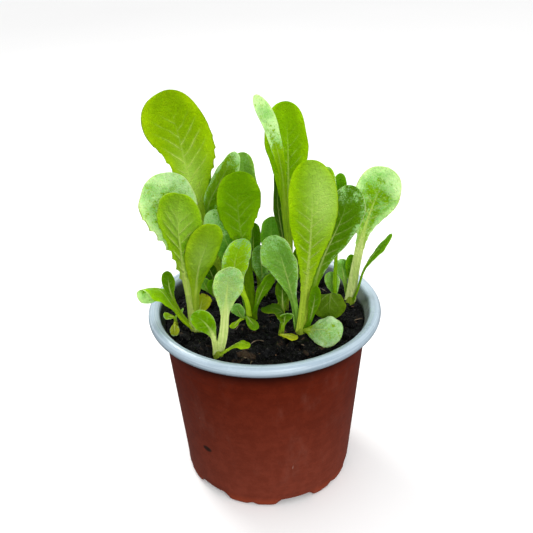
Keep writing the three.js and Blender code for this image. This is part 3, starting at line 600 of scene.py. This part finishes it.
def leaf(seed, spine, width, tint=GRASS, turn=0, roll=0, blade=0.4, peak=0.66, skew=0, cup=12, stalk=3,
         teeth=0.2, down=0.0, bare=0.0, heart=0.15, pale_or_shade=0.2, veins=0.4, midrib=0.7, haze=(0, 0, 0.5),
         wither=0.0):
    """One closed leaf: a grid wrapped round the spine as two faces that meet at the margin."""
    draw = random.Random(seed)
    phase = [draw.uniform(0, 2 * math.pi) for _ in range(6)]
    size = min(1.0, width / 22)
    piece, column, upper, on_stalk, along = leaf_shares(width)
    mesh = piece.data
    edge = np.abs(column)
    right = column > 0

    curve, length = smooth_spine(spine)
    whole = length[-1]
    t = blade * on_stalk + (1 - blade) * along
    centre = np.stack([np.interp(t * whole, length, curve[:, k]) for k in range(3)], axis=-1)
    ahead = np.stack([np.interp(t * whole + 1.5, length, curve[:, k]) for k in range(3)], axis=-1)
    behind = np.stack([np.interp(t * whole - 1.5, length, curve[:, k]) for k in range(3)], axis=-1)
    tangent = unit(ahead - behind)
    plan = np.array([math.cos(math.radians(turn)), math.sin(math.radians(turn)), 0.0])
    side = unit(plan - tangent * (tangent @ plan)[:, None])
    side = turned_about(side, tangent, math.radians(roll))
    normal = np.cross(side, tangent)

    opened = spoon(along, peak - np.sign(column) * skew / 2)
    flare = 1 + 0.35 * (1 - on_stalk) ** 1.5
    half_stalk = stalk / 2 * (1 - 0.6 * along) * flare
    half = np.maximum(half_stalk * (1 - along**12),
                      width / 2 * opened + half_stalk * (1 - opened) * (1 - along**8))
    from_base = (t - blade) * whole
    tooth_run = from_base / 5.5 + phase[0] + 0.4 * right
    tooth = (1 - tooth_run % 1) ** 2 * smoothstep(along, 0.0, 0.1) * (1 - smoothstep(along, 0.35, 0.8))
    uneven = 1 + 0.03 * np.sin(along * 9 + phase[1] + 1.7 * np.sign(column)) * edge**2
    reach = column * (half + teeth * 1.1 * tooth * edge**6) * uneven

    wave = 0.08 * half * edge**2 * opened * np.sin(along * 17 + np.where(right, 0, 2))
    wave += 0.03 * half * edge**4 * opened * np.sin(along * 33 + phase[2] + 2 * right)
    lift = half * edge**1.4 * math.sin(math.radians(cup)) * opened + wave
    climb = (from_base - VEIN_CLIMB * np.abs(reach) - VEIN_CURVE * reach**2) / (3 + 0.12 * width) + phase[4]
    between = np.abs(np.sin(np.pi * (climb + SIDE_SHIFT * ~right)))
    quilt = 0.42 * size * (0.35 + veins) * opened * between**0.8 * smoothstep(edge, 0.03, 0.22)
    quilt *= (1 - smoothstep(edge, 0.6, 1.0)) * (1 - 0.7 * smoothstep(along, 0.6, 0.95))
    curl = 0.05 * width * smoothstep(along, 0.7, 1.0) * math.sin(phase[3])

    stalk_share = 1 - np.clip(opened / 0.6, 0, 1)
    channel = 0.3 * half * edge**2 * stalk_share
    rib_half = (0.5 + 0.022 * width) * (1 - 0.85 * along)
    ridge = np.exp(-(reach / np.maximum(rib_half, 0.1)) ** 2)
    blade_thick = 0.42 + (0.5 + 0.02 * width) * (1 - 0.8 * along) * ridge
    stalk_thick = min(2.2, 0.7 * stalk) * stalk_share * (1 - 0.45 * edge)
    thick = np.maximum(blade_thick, stalk_thick) * np.sqrt(np.clip(1 - edge**10, 0, 1))
    thick *= np.sqrt(np.clip(1 - along**30, 0, 1))
    groove = 0.3 * ridge * opened
    face = np.where(upper, thick * 0.42 - groove, -thick * 0.58)
    points = centre + side * (reach * np.cos(math.radians(cup) * opened))[:, None]
    points += normal * (lift + channel + quilt + curl + face)[:, None]
    set_positions(mesh, place(points))

    mesh.uv_layers.active.name = "leaf_map"
    corner = np.empty(len(mesh.loops), dtype=np.int64)
    mesh.loops.foreach_get("vertex_index", corner)
    flat = np.stack([reach / MAP_WIDTH + 0.5, from_base / MAP_LENGTH + 0.5], axis=-1)
    mesh.uv_layers.active.data.foreach_set("uv", flat[corner].ravel())
    strength, haze_across, haze_along = haze
    outward = smoothstep(np.maximum(edge, 1.75 * along - 0.75), 0.42, 1.0)
    inward = 1 - smoothstep(edge, 0.4, 0.85)
    low = 1 - smoothstep(along, 0.0, 0.42)
    set_values(
        mesh,
        stalk=low * (1 - 0.6 * smoothstep(edge, 0.3, 0.9) * smoothstep(along, 0.02, 0.2)),
        under=(~upper).astype(float),
        margin=edge * smoothstep(along, 0.05, 0.25),
        rib=rib_half * (1.1 + 1.2 * max(0.0, pale_or_shade) * (1 - along) ** 2),
        ribbed=midrib * (1 - smoothstep(along, 0.45, 0.9)),
        veined=veins * smoothstep(along, 0.02, 0.14) * (1 - smoothstep(along, 0.5, 0.9)) * inward,
        climb=climb,
        down=down * (heart + (1 - heart) * outward) * smoothstep(along, bare, bare + 0.3),
        haze=strength * np.exp(-((column - haze_across) / 0.6) ** 2 - ((along - haze_along) / 0.2) ** 2),
        wither=wither * smoothstep(along, 0.5, 1.1),
        draw=seed * 7.3,
    )
    set_colour(mesh, "tint", [channel * draw.uniform(0.95, 1.05) for channel in tint])
    set_colour(mesh, "stem", stem_colour(tint, pale_or_shade))
    weld()
    bpy.ops.object.shade_smooth()
    return piece


def crown(seedling):
    """The short pale stem that the leaves grow from, down into its hole in the compost."""
    x, y = seedling["crown"]
    radius = seedling["stem"]
    rings = [(0.3, 84.2), (0.75, 85), (1.0, 88), (1.0, 91), (0.9, 92.5), (0.6, 94), (0.2, 94.8)]
    piece = turned_piece("crown", [(share * radius, height) for share, height in rings], 24)
    mesh = piece.data
    set_positions(mesh, place(positions(mesh) + np.array([x, y, 0])))
    set_values(mesh, stalk=1.0, rib=1.0)
    set_colour(mesh, "tint", LIME)
    set_colour(mesh, "stem", stem_colour(LIME, 0.4))
    if not mesh.uv_layers:
        mesh.uv_layers.new(name="leaf_map")
    mesh.uv_layers[0].name = "leaf_map"
    bpy.ops.object.shade_smooth()
    return piece


def grow(seedling, material, number):
    """One seedling, its leaves and crown in one piece."""
    parts = [leaf(100 * number + k, **row) for k, row in enumerate(seedling["leaves"])]
    piece = join([crown(seedling)] + parts, seedling["node"] + "_plant")
    finish_piece(piece, [material], seedling["slot"], seedling["node"])


# Pot

def foot_depth(azimuth):
    """1 where a foot stands on the ground, 0 in the notches between the pairs of feet."""
    period = 2 * math.pi / FOOT_PAIRS
    offset = (azimuth - math.radians(FOOT_PAIR_TURN) + period / 2) % period - period / 2
    away = np.degrees(np.abs(offset))
    outer = 1 - smoothstep(away, FOOT_SPREAD + FOOT_HALF_WIDTH - 3, FOOT_SPREAD + FOOT_HALF_WIDTH + 3)
    dent = 1 - 0.3 * (1 - smoothstep(away, 0, 4))
    return outer * dent


def wall_radius(height):
    return WALL_FOOT_RADIUS + (WALL_TOP_RADIUS - WALL_FOOT_RADIUS) * height / (POT_HEIGHT - 2 * RIM_TUBE)


def rim_arc(radius, start, end, steps, groove=0.0):
    """Part of the rolled rim's section, with a shallow groove round its top."""
    arc = []
    for i in range(steps + 1):
        degrees = start + (end - start) * i / steps
        reach = radius - groove * math.exp(-((degrees - RIM_GROOVE_AT) / 11) ** 2)
        angle = math.radians(degrees)
        arc.append((RIM_RADIUS + reach * math.cos(angle), POT_HEIGHT - RIM_TUBE + reach * math.sin(angle)))
    return arc


def pot_profile():
    """Closed (radius, height) profile: floor, feet, wall, rolled rim, inside wall and inside floor."""
    foot = [(36, FLOOR_HEIGHT), (37, 3), (38.2, 1.2), (39.5, 0.25), (41, 0), (43, 0), (44.1, 0.35),
            (44.8, 1.2), (wall_radius(2.6) - 0.05, 2.6), (wall_radius(5), 5)]
    wall = [(wall_radius(h), h) for h in (9, 16, 24, 34, 44, 54, 64, 72)]
    line = [(wall_radius(MOULD_LINE - 0.9), MOULD_LINE - 0.9), (wall_radius(MOULD_LINE) - 0.12, MOULD_LINE),
            (wall_radius(MOULD_LINE + 0.9), MOULD_LINE + 0.9)]
    top = [(wall_radius(86), 86), (wall_radius(91), 91), (WALL_TOP_RADIUS + 0.3, 93.2)]
    rolled = rim_arc(RIM_TUBE - SHEET, 200, -70, 14) + rim_arc(RIM_TUBE, -70, 180, 44, RIM_GROOVE)
    inside = [(WALL_TOP_RADIUS - SHEET, 93), (wall_radius(88) - SHEET, 88), (wall_radius(60) - SHEET, 60),
              (wall_radius(30) - SHEET, 30), (wall_radius(8) - SHEET, 8), (42.4, 5.2),
              (40, FLOOR_HEIGHT + SHEET)]
    return ([(1, FLOOR_HEIGHT), (20, FLOOR_HEIGHT)] + foot + wall + line + top + rolled + inside
            + [(20, FLOOR_HEIGHT + SHEET), (1, FLOOR_HEIGHT + SHEET)])


def shape_feet(points):
    """Lifts the foot ring into notches between the pairs, and lets the wall bulge a little at each foot."""
    x, y, z = points.T
    radius = np.hypot(x, y)
    azimuth = np.arctan2(x, -y)
    depth = foot_depth(azimuth)
    low = (z < FLOOR_HEIGHT) & (radius > 36.5)
    lifted = FLOOR_HEIGHT - (FLOOR_HEIGHT - z) * depth
    z = np.where(low, lifted, z)
    edge = low & (radius > 43.5)
    pull = np.where(edge, 0.8 * (1 - depth) * (FLOOR_HEIGHT - points[:, 2]) / FLOOR_HEIGHT, 0)
    bulge = 0.35 * depth * np.exp(-((points[:, 2] - 3) / 4) ** 2) * (radius > 43.5)
    ratio = (radius - pull + bulge) / np.maximum(radius, 1e-6)
    return np.stack([x * ratio, y * ratio, z], axis=-1)


def drain_cutters():
    """Upright rods through the floor, one in the middle and a ring of them round it."""
    places = [(0, 0)]
    for i in range(DRAIN_HOLES):
        angle = 2 * math.pi * i / DRAIN_HOLES
        places.append((DRAIN_RING_RADIUS * math.cos(angle), DRAIN_RING_RADIUS * math.sin(angle)))
    rods = []
    for x, y in places:
        deselect_all()
        bpy.ops.mesh.primitive_cylinder_add(vertices=32, radius=DRAIN_HOLE_RADIUS, depth=6,
                                            location=(x, y, FLOOR_HEIGHT))
        bpy.ops.object.transform_apply()
        rods.append(bpy.context.object)
    return join(rods, "drain_rods")


def nursery_pot(outer_finish, inner_finish):
    """The shell in two finishes: brown outside, and pale inside and over the rolled rim."""
    piece = turned_piece("nursery_pot", pot_profile(), POT_SIDES)
    set_positions(piece.data, shape_feet(positions(piece.data)))
    rods = drain_cutters()
    cut = piece.modifiers.new("drain_holes", "BOOLEAN")
    cut.object = rods
    cut.solver = "EXACT"
    deselect_all()
    piece.select_set(True)
    bpy.context.view_layer.objects.active = piece
    bpy.ops.object.modifier_apply(modifier=cut.name)
    bpy.data.objects.remove(rods)
    mesh = piece.data
    finish_piece(piece, [outer_finish, inner_finish], "pot_plastic", "pot")
    for face in mesh.polygons:
        centre = face.center
        outward = face.normal.dot(Vector((centre.x, centre.y, 0)).normalized())
        face.material_index = int(on_pale_layer(math.hypot(centre.x, centre.y), centre.z, outward))
    set_positions(mesh, place(positions(mesh)))
    bpy.ops.object.shade_smooth_by_angle(angle=math.radians(50))


def on_pale_layer(radius, height, outward):
    """True inside the pot and over the rolled rim. outward is how far the face looks away from the axis."""
    centre = POT_HEIGHT - RIM_TUBE
    outside_roll = math.hypot(radius - RIM_RADIUS, height - centre) > RIM_TUBE - 0.5
    inside = outward < 0.1 and height > FLOOR_HEIGHT + 0.5 and radius < RIM_RADIUS and outside_roll
    over_rim = outside_roll and height > centre - RIM_TUBE * 0.95 and radius > WALL_TOP_RADIUS + 0.4
    return inside or over_rim


def outer_plastic():
    """Satin brown plastic, with painted shade under the rim, painted light growing toward the foot and a
    painted orange glow along the foot's edge.
    """
    material, tree = new_material("pot_brown")
    here = add(tree, "TexCoord").outputs["Object"]
    height = add(tree, "SeparateXYZ", {0: here}).outputs[2]
    cloud = noise(tree, here, 30.0, 4.0, 0.6)
    smudge = noise(tree, stretched(tree, here, (1.0, 1.0, 0.45)), 55.0, 4.0, 0.65)
    speckle = noise(tree, here, 1400.0, 2.0, 0.5)
    rings = noise(tree, stretched(tree, here, (1.0, 1.0, 9.0)), 60.0, 3.0, 0.5)
    scuff = noise(tree, stretched(tree, here, (1.0, 1.0, 0.3), (0.3, 0.9, 0.2)), 300.0, 2.0, 0.4)
    scuff = smooth(tree, scuff, 0.755, 0.785)
    speck_at = add(tree, "VectorMath", {0: here, 1: place(DARK_SPECK)}, operation="SUBTRACT").outputs[0]
    speck_at = stretched(tree, speck_at, (0.55, 0.55, 1.0), (0.0, 0.6, 0.0))
    speck = add(tree, "VectorMath", {0: speck_at}, operation="LENGTH").outputs["Value"]
    speck = calc(tree, "SUBTRACT", 1.0, smooth(tree, speck, 0.0013, 0.0021))

    brown = tint(tree, cloud, rgba(0.080, 0.0072, 0.0014), rgba(0.115, 0.0125, 0.0036))
    # Painted light: lighter toward the foot, where light shines through the wall
    brown = tint(tree, smooth(tree, height, 0.0, 0.093, 0.6, 0.0), brown, rgba(0.21, 0.043, 0.024))
    mottle = noise(tree, here, 170.0, 5.0, 0.7)
    brown = tint(tree, smooth(tree, mottle, 0.40, 0.62, 0.0, 0.5), brown, rgba(1.35, 1.5, 1.6), "MULTIPLY")
    brown = tint(tree, times(tree, smooth(tree, rings, 0.35, 0.75), 0.25), brown, rgba(0.8, 0.75, 0.75),
                 "MULTIPLY")
    # A painted orange glow along the bottom edge
    brown = tint(tree, smooth(tree, height, 0.007, 0.001, 0.0, 0.6), brown, rgba(0.36, 0.060, 0.022))
    brown = tint(tree, smooth(tree, smudge, 0.52, 0.8, 0.0, 0.16), brown, rgba(0.34, 0.17, 0.13))
    brown = tint(tree, times(tree, scuff, 0.4), brown, rgba(0.45, 0.30, 0.25))
    # Painted shade under the rolled rim
    brown = tint(tree, smooth(tree, height, 0.081, 0.0905, 0.0, 0.95), brown, rgba(0.010, 0.0012, 0.0006))
    brown = tint(tree, times(tree, speck, 0.9), brown, rgba(0.012, 0.007, 0.005))
    rough = smooth(tree, cloud, 0.3, 0.7, 0.36, 0.48)
    relief = total(tree, times(tree, rings, 0.7), times(tree, speckle, 0.25))
    shader = add(tree, "BsdfPrincipled", {"Base Color": brown, "Roughness": rough,
                                          "Normal": bumped(tree, relief, 0.0003, 0.5),
                                          "Specular IOR Level": 0.14})
    close_material(tree, shader.outputs[0])
    return material


def inner_plastic():
    """Pale blue-grey plastic, glossy and finely streaked round the rim, with painted shade on the roll's
    lower outer side and over the inside wall, where a painted green reflection darkens the left.
    """
    material, tree = new_material("pot_grey")
    here = add(tree, "TexCoord").outputs["Object"]
    split = add(tree, "SeparateXYZ", {0: here})
    height = split.outputs[2]
    cloud = noise(tree, here, 45.0, 4.0, 0.6)
    fine = noise(tree, here, 900.0, 3.0, 0.6)
    grey = tint(tree, cloud, rgba(0.36, 0.455, 0.53), rgba(0.46, 0.57, 0.645))
    grey = tint(tree, smooth(tree, fine, 0.45, 0.75, 0.0, 0.25), grey, rgba(0.75, 0.78, 0.8), "MULTIPLY")
    from_axis = add(tree, "VectorMath", {0: here, 1: place((0, 0, 0))}, operation="SUBTRACT").outputs[0]
    flat = add(tree, "VectorMath", {0: from_axis, 1: (1.0, 1.0, 0.0)}, operation="MULTIPLY").outputs[0]
    radius = add(tree, "VectorMath", {0: flat}, operation="LENGTH").outputs["Value"]
    inside = smooth(tree, radius, 0.0565, 0.0545)
    round_tube = calc(tree, "ARCTAN2", calc(tree, "SUBTRACT", height, (POT_HEIGHT - RIM_TUBE) * MM),
                      calc(tree, "SUBTRACT", radius, RIM_RADIUS * MM))
    around = add(tree, "CombineXYZ", {0: times(tree, round_tube, 4.0),
                                      1: times(tree, split.outputs[0], 22.0),
                                      2: times(tree, split.outputs[1], 22.0)}).outputs[0]
    streak = noise(tree, around, 1.0, 4.0, 0.6)
    grey = tint(tree, smooth(tree, streak, 0.42, 0.62, 0.0, 0.6), grey, rgba(0.58, 0.63, 0.68), "MULTIPLY")
    # Painted shade inside the pot: dark at the left with a painted green reflection of the leaves, lighter
    # at the right, and darkest toward the compost
    shade_depth = total(tree, height, times(tree, cloud, 0.003))
    painted_inner_shade = tint(tree, smooth(tree, split.outputs[0], -0.045, 0.02), rgba(0.020, 0.028, 0.017),
                  rgba(0.15, 0.18, 0.17))
    painted_inner_shade = tint(tree, smooth(tree, shade_depth, 0.0945, 0.0915), painted_inner_shade, rgba(0.022, 0.026, 0.021))
    grey = tint(tree, times(tree, inside, smooth(tree, shade_depth, 0.0995, 0.0965)), grey, painted_inner_shade)
    # Painted shade on the lower outer side of the rolled rim
    roll_underside_shade = times(tree, calc(tree, "SUBTRACT", 1.0, inside), smooth(tree, height, 0.0965, 0.0937))
    grey = tint(tree, times(tree, roll_underside_shade, 0.65), grey, rgba(0.15, 0.19, 0.24))
    rough = smooth(tree, cloud, 0.3, 0.7, 0.22, 0.3)
    relief = total(tree, times(tree, cloud, 1.0), times(tree, fine, 0.3), times(tree, streak, 1.6))
    shader = add(tree, "BsdfPrincipled", {"Base Color": grey, "Roughness": rough,
                                          "Normal": bumped(tree, relief, 0.0003, 0.5),
                                          "Specular IOR Level": 0.5})
    close_material(tree, shader.outputs[0])
    return material


# Compost

def lump(x, y):
    """Height of the lumps over the compost's mean surface, as in the solid."""
    broad = 0.4 * math.sin(0.21 * x + 1) * math.cos(0.19 * y)
    return broad + 0.3 * math.sin(0.55 * x + 0.4 * y + 2) + 0.25 * math.cos(0.7 * y - 0.35 * x)


def crumble(x, y):
    """Finer lumps and pits that only the finished surface has."""
    return sum(height * field.noise(Vector((x, y, 7)) / length)
               for length, height in ((7, 1.9), (3, 1.7), (1.3, 0.9)))


def surface_height(x, y):
    flatter = 1 - float(smoothstep(math.hypot(x, y), 46, COMPOST_RADIUS))
    return COMPOST_TOP + lump(x, y) + crumble(x, y) * flatter


def compost_bed(material):
    """The filling: fine rings out to the wall and down it to the pot's floor, with a crumbly top."""
    rings = [(0.4, COMPOST_TOP)] + [(COMPOST_RADIUS * i / 80, COMPOST_TOP) for i in range(1, 80)]
    rings += [(COMPOST_RADIUS, COMPOST_TOP - 0.4), (wall_radius(60) - 1.5, 60), (wall_radius(9) - 1.5, 9),
              (41, 5.4), (0.4, 5.4)]
    piece = turned_piece("compost_bed", rings, 220)
    points = positions(piece.data)
    for point in points:
        if point[2] > COMPOST_TOP - 0.1:
            point[2] = surface_height(point[0], point[1])
    set_positions(piece.data, place(points))
    bpy.ops.object.shade_smooth()
    finish_piece(piece, [material], "compost", "compost")


def clear_of_crowns(x, y, gap):
    return all(math.hypot(x - s["crown"][0], y - s["crown"][1]) > s["stem"] + gap for s in SEEDLINGS)


def scatter(draw, count, gap, reach):
    """Places spread evenly over the compost, clear of the crowns."""
    places = []
    while len(places) < count:
        radius = reach * math.sqrt(draw.random())
        angle = draw.uniform(0, 2 * math.pi)
        x, y = radius * math.cos(angle), radius * math.sin(angle)
        if clear_of_crowns(x, y, gap):
            places.append((x, y))
    return places


def mesh_piece(name, points, faces):
    mesh = bpy.data.meshes.new(name)
    mesh.from_pydata([(p + POT_AXIS) * MM for p in points], [], faces)
    mesh.update()
    piece = bpy.data.objects.new(name, mesh)
    bpy.context.scene.collection.objects.link(piece)
    return piece


def repeat_shape(name, shape, settings):
    """One mesh of many copies of a small shape. Each setting is (place, turn, size)."""
    shape_points, shape_faces = shape
    points = []
    faces = []
    for move, turn, size in settings:
        start = len(points)
        scaled = Matrix.Diagonal(Vector(size))
        points += [move + turn @ (scaled @ p) for p in shape_points]
        faces += [[start + i for i in face] for face in shape_faces]
    return mesh_piece(name, points, faces)


def rough_ball(draw, subdivisions, roughness):
    """The points and faces of an icosphere whose points are each moved a little."""
    deselect_all()
    bpy.ops.mesh.primitive_ico_sphere_add(subdivisions=subdivisions, radius=1)
    pattern = bpy.context.object
    points = [v.co * (1 + roughness * draw.uniform(-1, 1)) for v in pattern.data.vertices]
    faces = [list(f.vertices) for f in pattern.data.polygons]
    bpy.data.objects.remove(pattern)
    return points, faces


def random_turn(draw, lean):
    turn = Matrix.Rotation(draw.uniform(0, 2 * math.pi), 3, "Z")
    tilt = Matrix.Rotation(draw.uniform(-lean, lean), 3, "X")
    return turn @ tilt @ Matrix.Rotation(draw.uniform(-lean, lean), 3, "Y")


def clods(material):
    """Crumbs of peat, sunk to about half their height."""
    draw = random.Random(11)
    parts = []
    for kind in range(5):
        shape = rough_ball(draw, 2, 0.34)
        settings = []
        for x, y in scatter(draw, CLODS // 5, 1.5, COMPOST_RADIUS - 2.5):
            size = 0.6 + 3.2 * draw.random() ** 2.8
            height = surface_height(x, y) + size * draw.uniform(-0.4, 0.1)
            flat = (size * draw.uniform(0.8, 1.35), size * draw.uniform(0.8, 1.3),
                    size * draw.uniform(0.5, 0.85))
            settings.append((Vector((x, y, height)), random_turn(draw, 0.6), flat))
        parts.append(repeat_shape(f"clods_{kind}", shape, settings))
    piece = join(parts, "compost_crumbs")
    bpy.ops.object.shade_smooth_by_angle(angle=math.radians(35))
    finish_piece(piece, [material], "compost")


def chips(material):
    """Flat splinters of brown bark, lying on the crumbs."""
    draw = random.Random(23)
    shape = rough_ball(draw, 1, 0.3)
    settings = []
    for x, y in scatter(draw, CHIPS, 1.5, COMPOST_RADIUS - 3):
        length = 0.6 + 2.0 * draw.random() ** 2
        size = (length, length * draw.uniform(0.25, 0.5), length * draw.uniform(0.1, 0.25))
        height = surface_height(x, y) + draw.uniform(0.2, 0.9)
        settings.append((Vector((x, y, height)), random_turn(draw, 0.5), size))
    piece = repeat_shape("bark_chips", shape, settings)
    finish_piece(piece, [material], "compost")


def fibres(material):
    """Thin curved threads of peat moss, as bent tubes."""
    draw = random.Random(37)
    steps = 12
    sides = 5
    points = []
    faces = []
    for x, y in scatter(draw, FIBRES, 2.0, COMPOST_RADIUS - 6):
        heading = draw.uniform(0, 2 * math.pi)
        bend = draw.uniform(-0.12, 0.12)
        thick = draw.uniform(0.10, 0.26)
        step = draw.uniform(0.3, 0.75)
        arch = draw.uniform(0.4, 1.6)
        start = len(points)
        rest = surface_height(x, y) + 0.6
        for i in range(steps + 1):
            share = i / steps
            centre = Vector((x, y, rest + arch * math.sin(math.pi * share)))
            across = Vector((-math.sin(heading), math.cos(heading), 0))
            girth = thick * (1 - 0.7 * abs(2 * share - 1) ** 3)
            for k in range(sides):
                turn = 2 * math.pi * k / sides
                outward = across * math.cos(turn) + Vector((0, 0, 1)) * math.sin(turn)
                points.append(centre + outward * girth)
            heading += bend
            x += step * math.cos(heading)
            y += step * math.sin(heading)
        for i in range(steps):
            for k in range(sides):
                a = start + sides * i + k
                b = start + sides * i + (k + 1) % sides
                faces.append([a, b, b + sides, a + sides])
        faces.append([start + k for k in reversed(range(sides))])
        faces.append([start + sides * steps + k for k in range(sides)])
    piece = mesh_piece("peat_fibres", points, faces)
    deselect_all()
    piece.select_set(True)
    bpy.context.view_layer.objects.active = piece
    weld(1e-9)
    bpy.ops.object.shade_smooth()
    finish_piece(piece, [material], "compost")


def peat():
    """Near-black damp peat: matt crumbs with small wet glints, paler grey-blue painted glints, and a few
    brown patches.
    """
    material, tree = new_material("damp_peat")
    here = add(tree, "TexCoord").outputs["Object"]
    patch = noise(tree, here, 110.0, 4.0, 0.6)
    crumb = noise(tree, here, 380.0, 5.0, 0.7)
    grain = noise(tree, here, 1100.0, 3.0, 0.65)
    wet = noise(tree, here, 300.0, 2.0, 0.5)
    front = add(tree, "VectorMath", {0: here, 1: place(BROWN_PATCH)}, operation="SUBTRACT").outputs[0]
    front = smooth(tree, add(tree, "VectorMath", {0: front}, operation="LENGTH").outputs["Value"],
                   0.019, 0.006, 0.0, 0.12)
    # The paler grey-blue patches on the crumbs are painted glints
    dark = tint(tree, smooth(tree, crumb, 0.54, 0.62), rgba(0.0005, 0.0005, 0.0005),
                rgba(0.020, 0.021, 0.023))
    dark = tint(tree, smooth(tree, total(tree, patch, front), 0.62, 0.68, 0.0, 0.9), dark,
                rgba(0.075, 0.045, 0.026))
    dark = tint(tree, smooth(tree, grain, 0.62, 0.70, 0.0, 0.7), dark, rgba(0.20, 0.18, 0.16))
    rough = smooth(tree, wet, 0.50, 0.56, 0.95, 0.15)
    normal = bumped(tree, total(tree, crumb, times(tree, grain, 0.5)), 0.004, 1.0)
    shader = add(tree, "BsdfPrincipled", {"Base Color": dark, "Roughness": rough, "Normal": normal,
                                          "Specular IOR Level": 0.2})
    close_material(tree, shader.outputs[0])
    return material


def dry_scraps(name, dull, bright):
    """Splinters or threads in the peat, from a dull to a bright brown."""
    material, tree = new_material(name)
    here = add(tree, "TexCoord").outputs["Object"]
    patch = noise(tree, here, 210.0, 2.0, 0.5)
    grain = noise(tree, here, 2200.0, 3.0, 0.6)
    brown = tint(tree, smooth(tree, patch, 0.4, 0.66), dull, bright)
    brown = tint(tree, smooth(tree, grain, 0.4, 0.7, 0.0, 0.6), brown, rgba(0.45, 0.4, 0.35), "MULTIPLY")
    normal = bumped(tree, grain, 0.0003, 0.8)
    shader = add(tree, "BsdfPrincipled", {"Base Color": brown, "Roughness": 0.8, "Normal": normal,
                                          "Specular IOR Level": 0.25})
    close_material(tree, shader.outputs[0])
    return material


# Studio

def floor():
    material, tree = new_material("pale_floor")
    here = add(tree, "TexCoord").outputs["Object"]
    white = tint(tree, noise(tree, here, 3.0, 2.0, 0.5), rgba(0.90, 0.90, 0.90), rgba(0.93, 0.93, 0.93))
    shader = add(tree, "BsdfPrincipled", {"Base Color": white, "Roughness": 0.9, "Specular IOR Level": 0.1})
    close_material(tree, shader.outputs[0])
    deselect_all()
    bpy.ops.mesh.primitive_plane_add(size=16, location=(0, 3, 0))
    bpy.ops.object.transform_apply()
    ground = bpy.context.object
    ground.name = "studio_floor"
    ground.data.materials.append(material)
    ground.visible_diffuse = False
    ground.visible_glossy = False


def lamp(name, place_at, aim, size, power, colour):
    light = bpy.data.lights.new(name, "AREA")
    light.shape = "DISK"
    light.size = size
    light.energy = power
    light.color = colour
    holder = bpy.data.objects.new(name, light)
    holder.location = place_at
    holder.rotation_euler = (Vector(place_at) - Vector(aim)).to_track_quat("Z", "Y").to_euler()
    bpy.context.scene.collection.objects.link(holder)


def studio_light():
    """A white sky, dark below the horizon, with a soft lamp behind the leaves and one in front."""
    world = bpy.data.worlds.new("studio")
    bpy.context.scene.world = world
    world.use_nodes = True
    tree = world.node_tree
    direction = add(tree, "TexCoord").outputs["Generated"]
    height = add(tree, "SeparateXYZ", {0: direction}).outputs[2]
    sky = tree.nodes["Background"]
    tree.links.new(tint(tree, smooth(tree, height, -0.25, 0.1), rgba(0.10, 0.10, 0.10),
                        rgba(1.0, 1.0, 1.0)),
                   sky.inputs[0])
    sky.inputs[1].default_value = 1.02
    middle = (0.0, 0.0, 0.12)
    lamp("key", (-0.30, 0.40, 0.75), middle, 0.4, 4.5, (1.0, 0.99, 0.96))
    lamp("front_fill", (0.25, -0.75, 0.42), middle, 0.5, 4.0, (1.0, 1.0, 1.0))
    bpy.context.scene.view_settings.view_transform = "Standard"


def camera():
    """The photograph's view: a little left of the pot's axis, looking down at the rim."""
    distance = 0.380
    pitch = math.radians(28.13)
    roll = math.radians(-1.55)
    target = (Vector((1.54, 0, 119.5)) + POT_AXIS) * MM
    data = bpy.data.cameras.new("camera")
    data.sensor_width = 36
    data.lens = 50.72
    data.clip_start = 0.01
    holder = bpy.data.objects.new("camera", data)
    turn = Matrix.Rotation(math.pi / 2 - pitch, 4, "X") @ Matrix.Rotation(roll, 4, "Z")
    back = Vector((0, -math.cos(pitch), math.sin(pitch)))
    holder.matrix_world = Matrix.Translation(target + back * distance) @ turn
    bpy.context.scene.collection.objects.link(holder)
    bpy.context.scene.camera = holder


# The whole

camera()
leaf_finish = lettuce_leaf()
peat_finish = peat()
nursery_pot(outer_plastic(), inner_plastic())
compost_bed(peat_finish)
clods(peat_finish)
chips(dry_scraps("bark_brown", rgba(0.03, 0.017, 0.010), rgba(0.15, 0.085, 0.045)))
fibres(dry_scraps("moss_straw", rgba(0.07, 0.05, 0.03), rgba(0.34, 0.26, 0.17)))
for number, seedling in enumerate(SEEDLINGS):
    grow(seedling, leaf_finish, number)
floor()
studio_light()
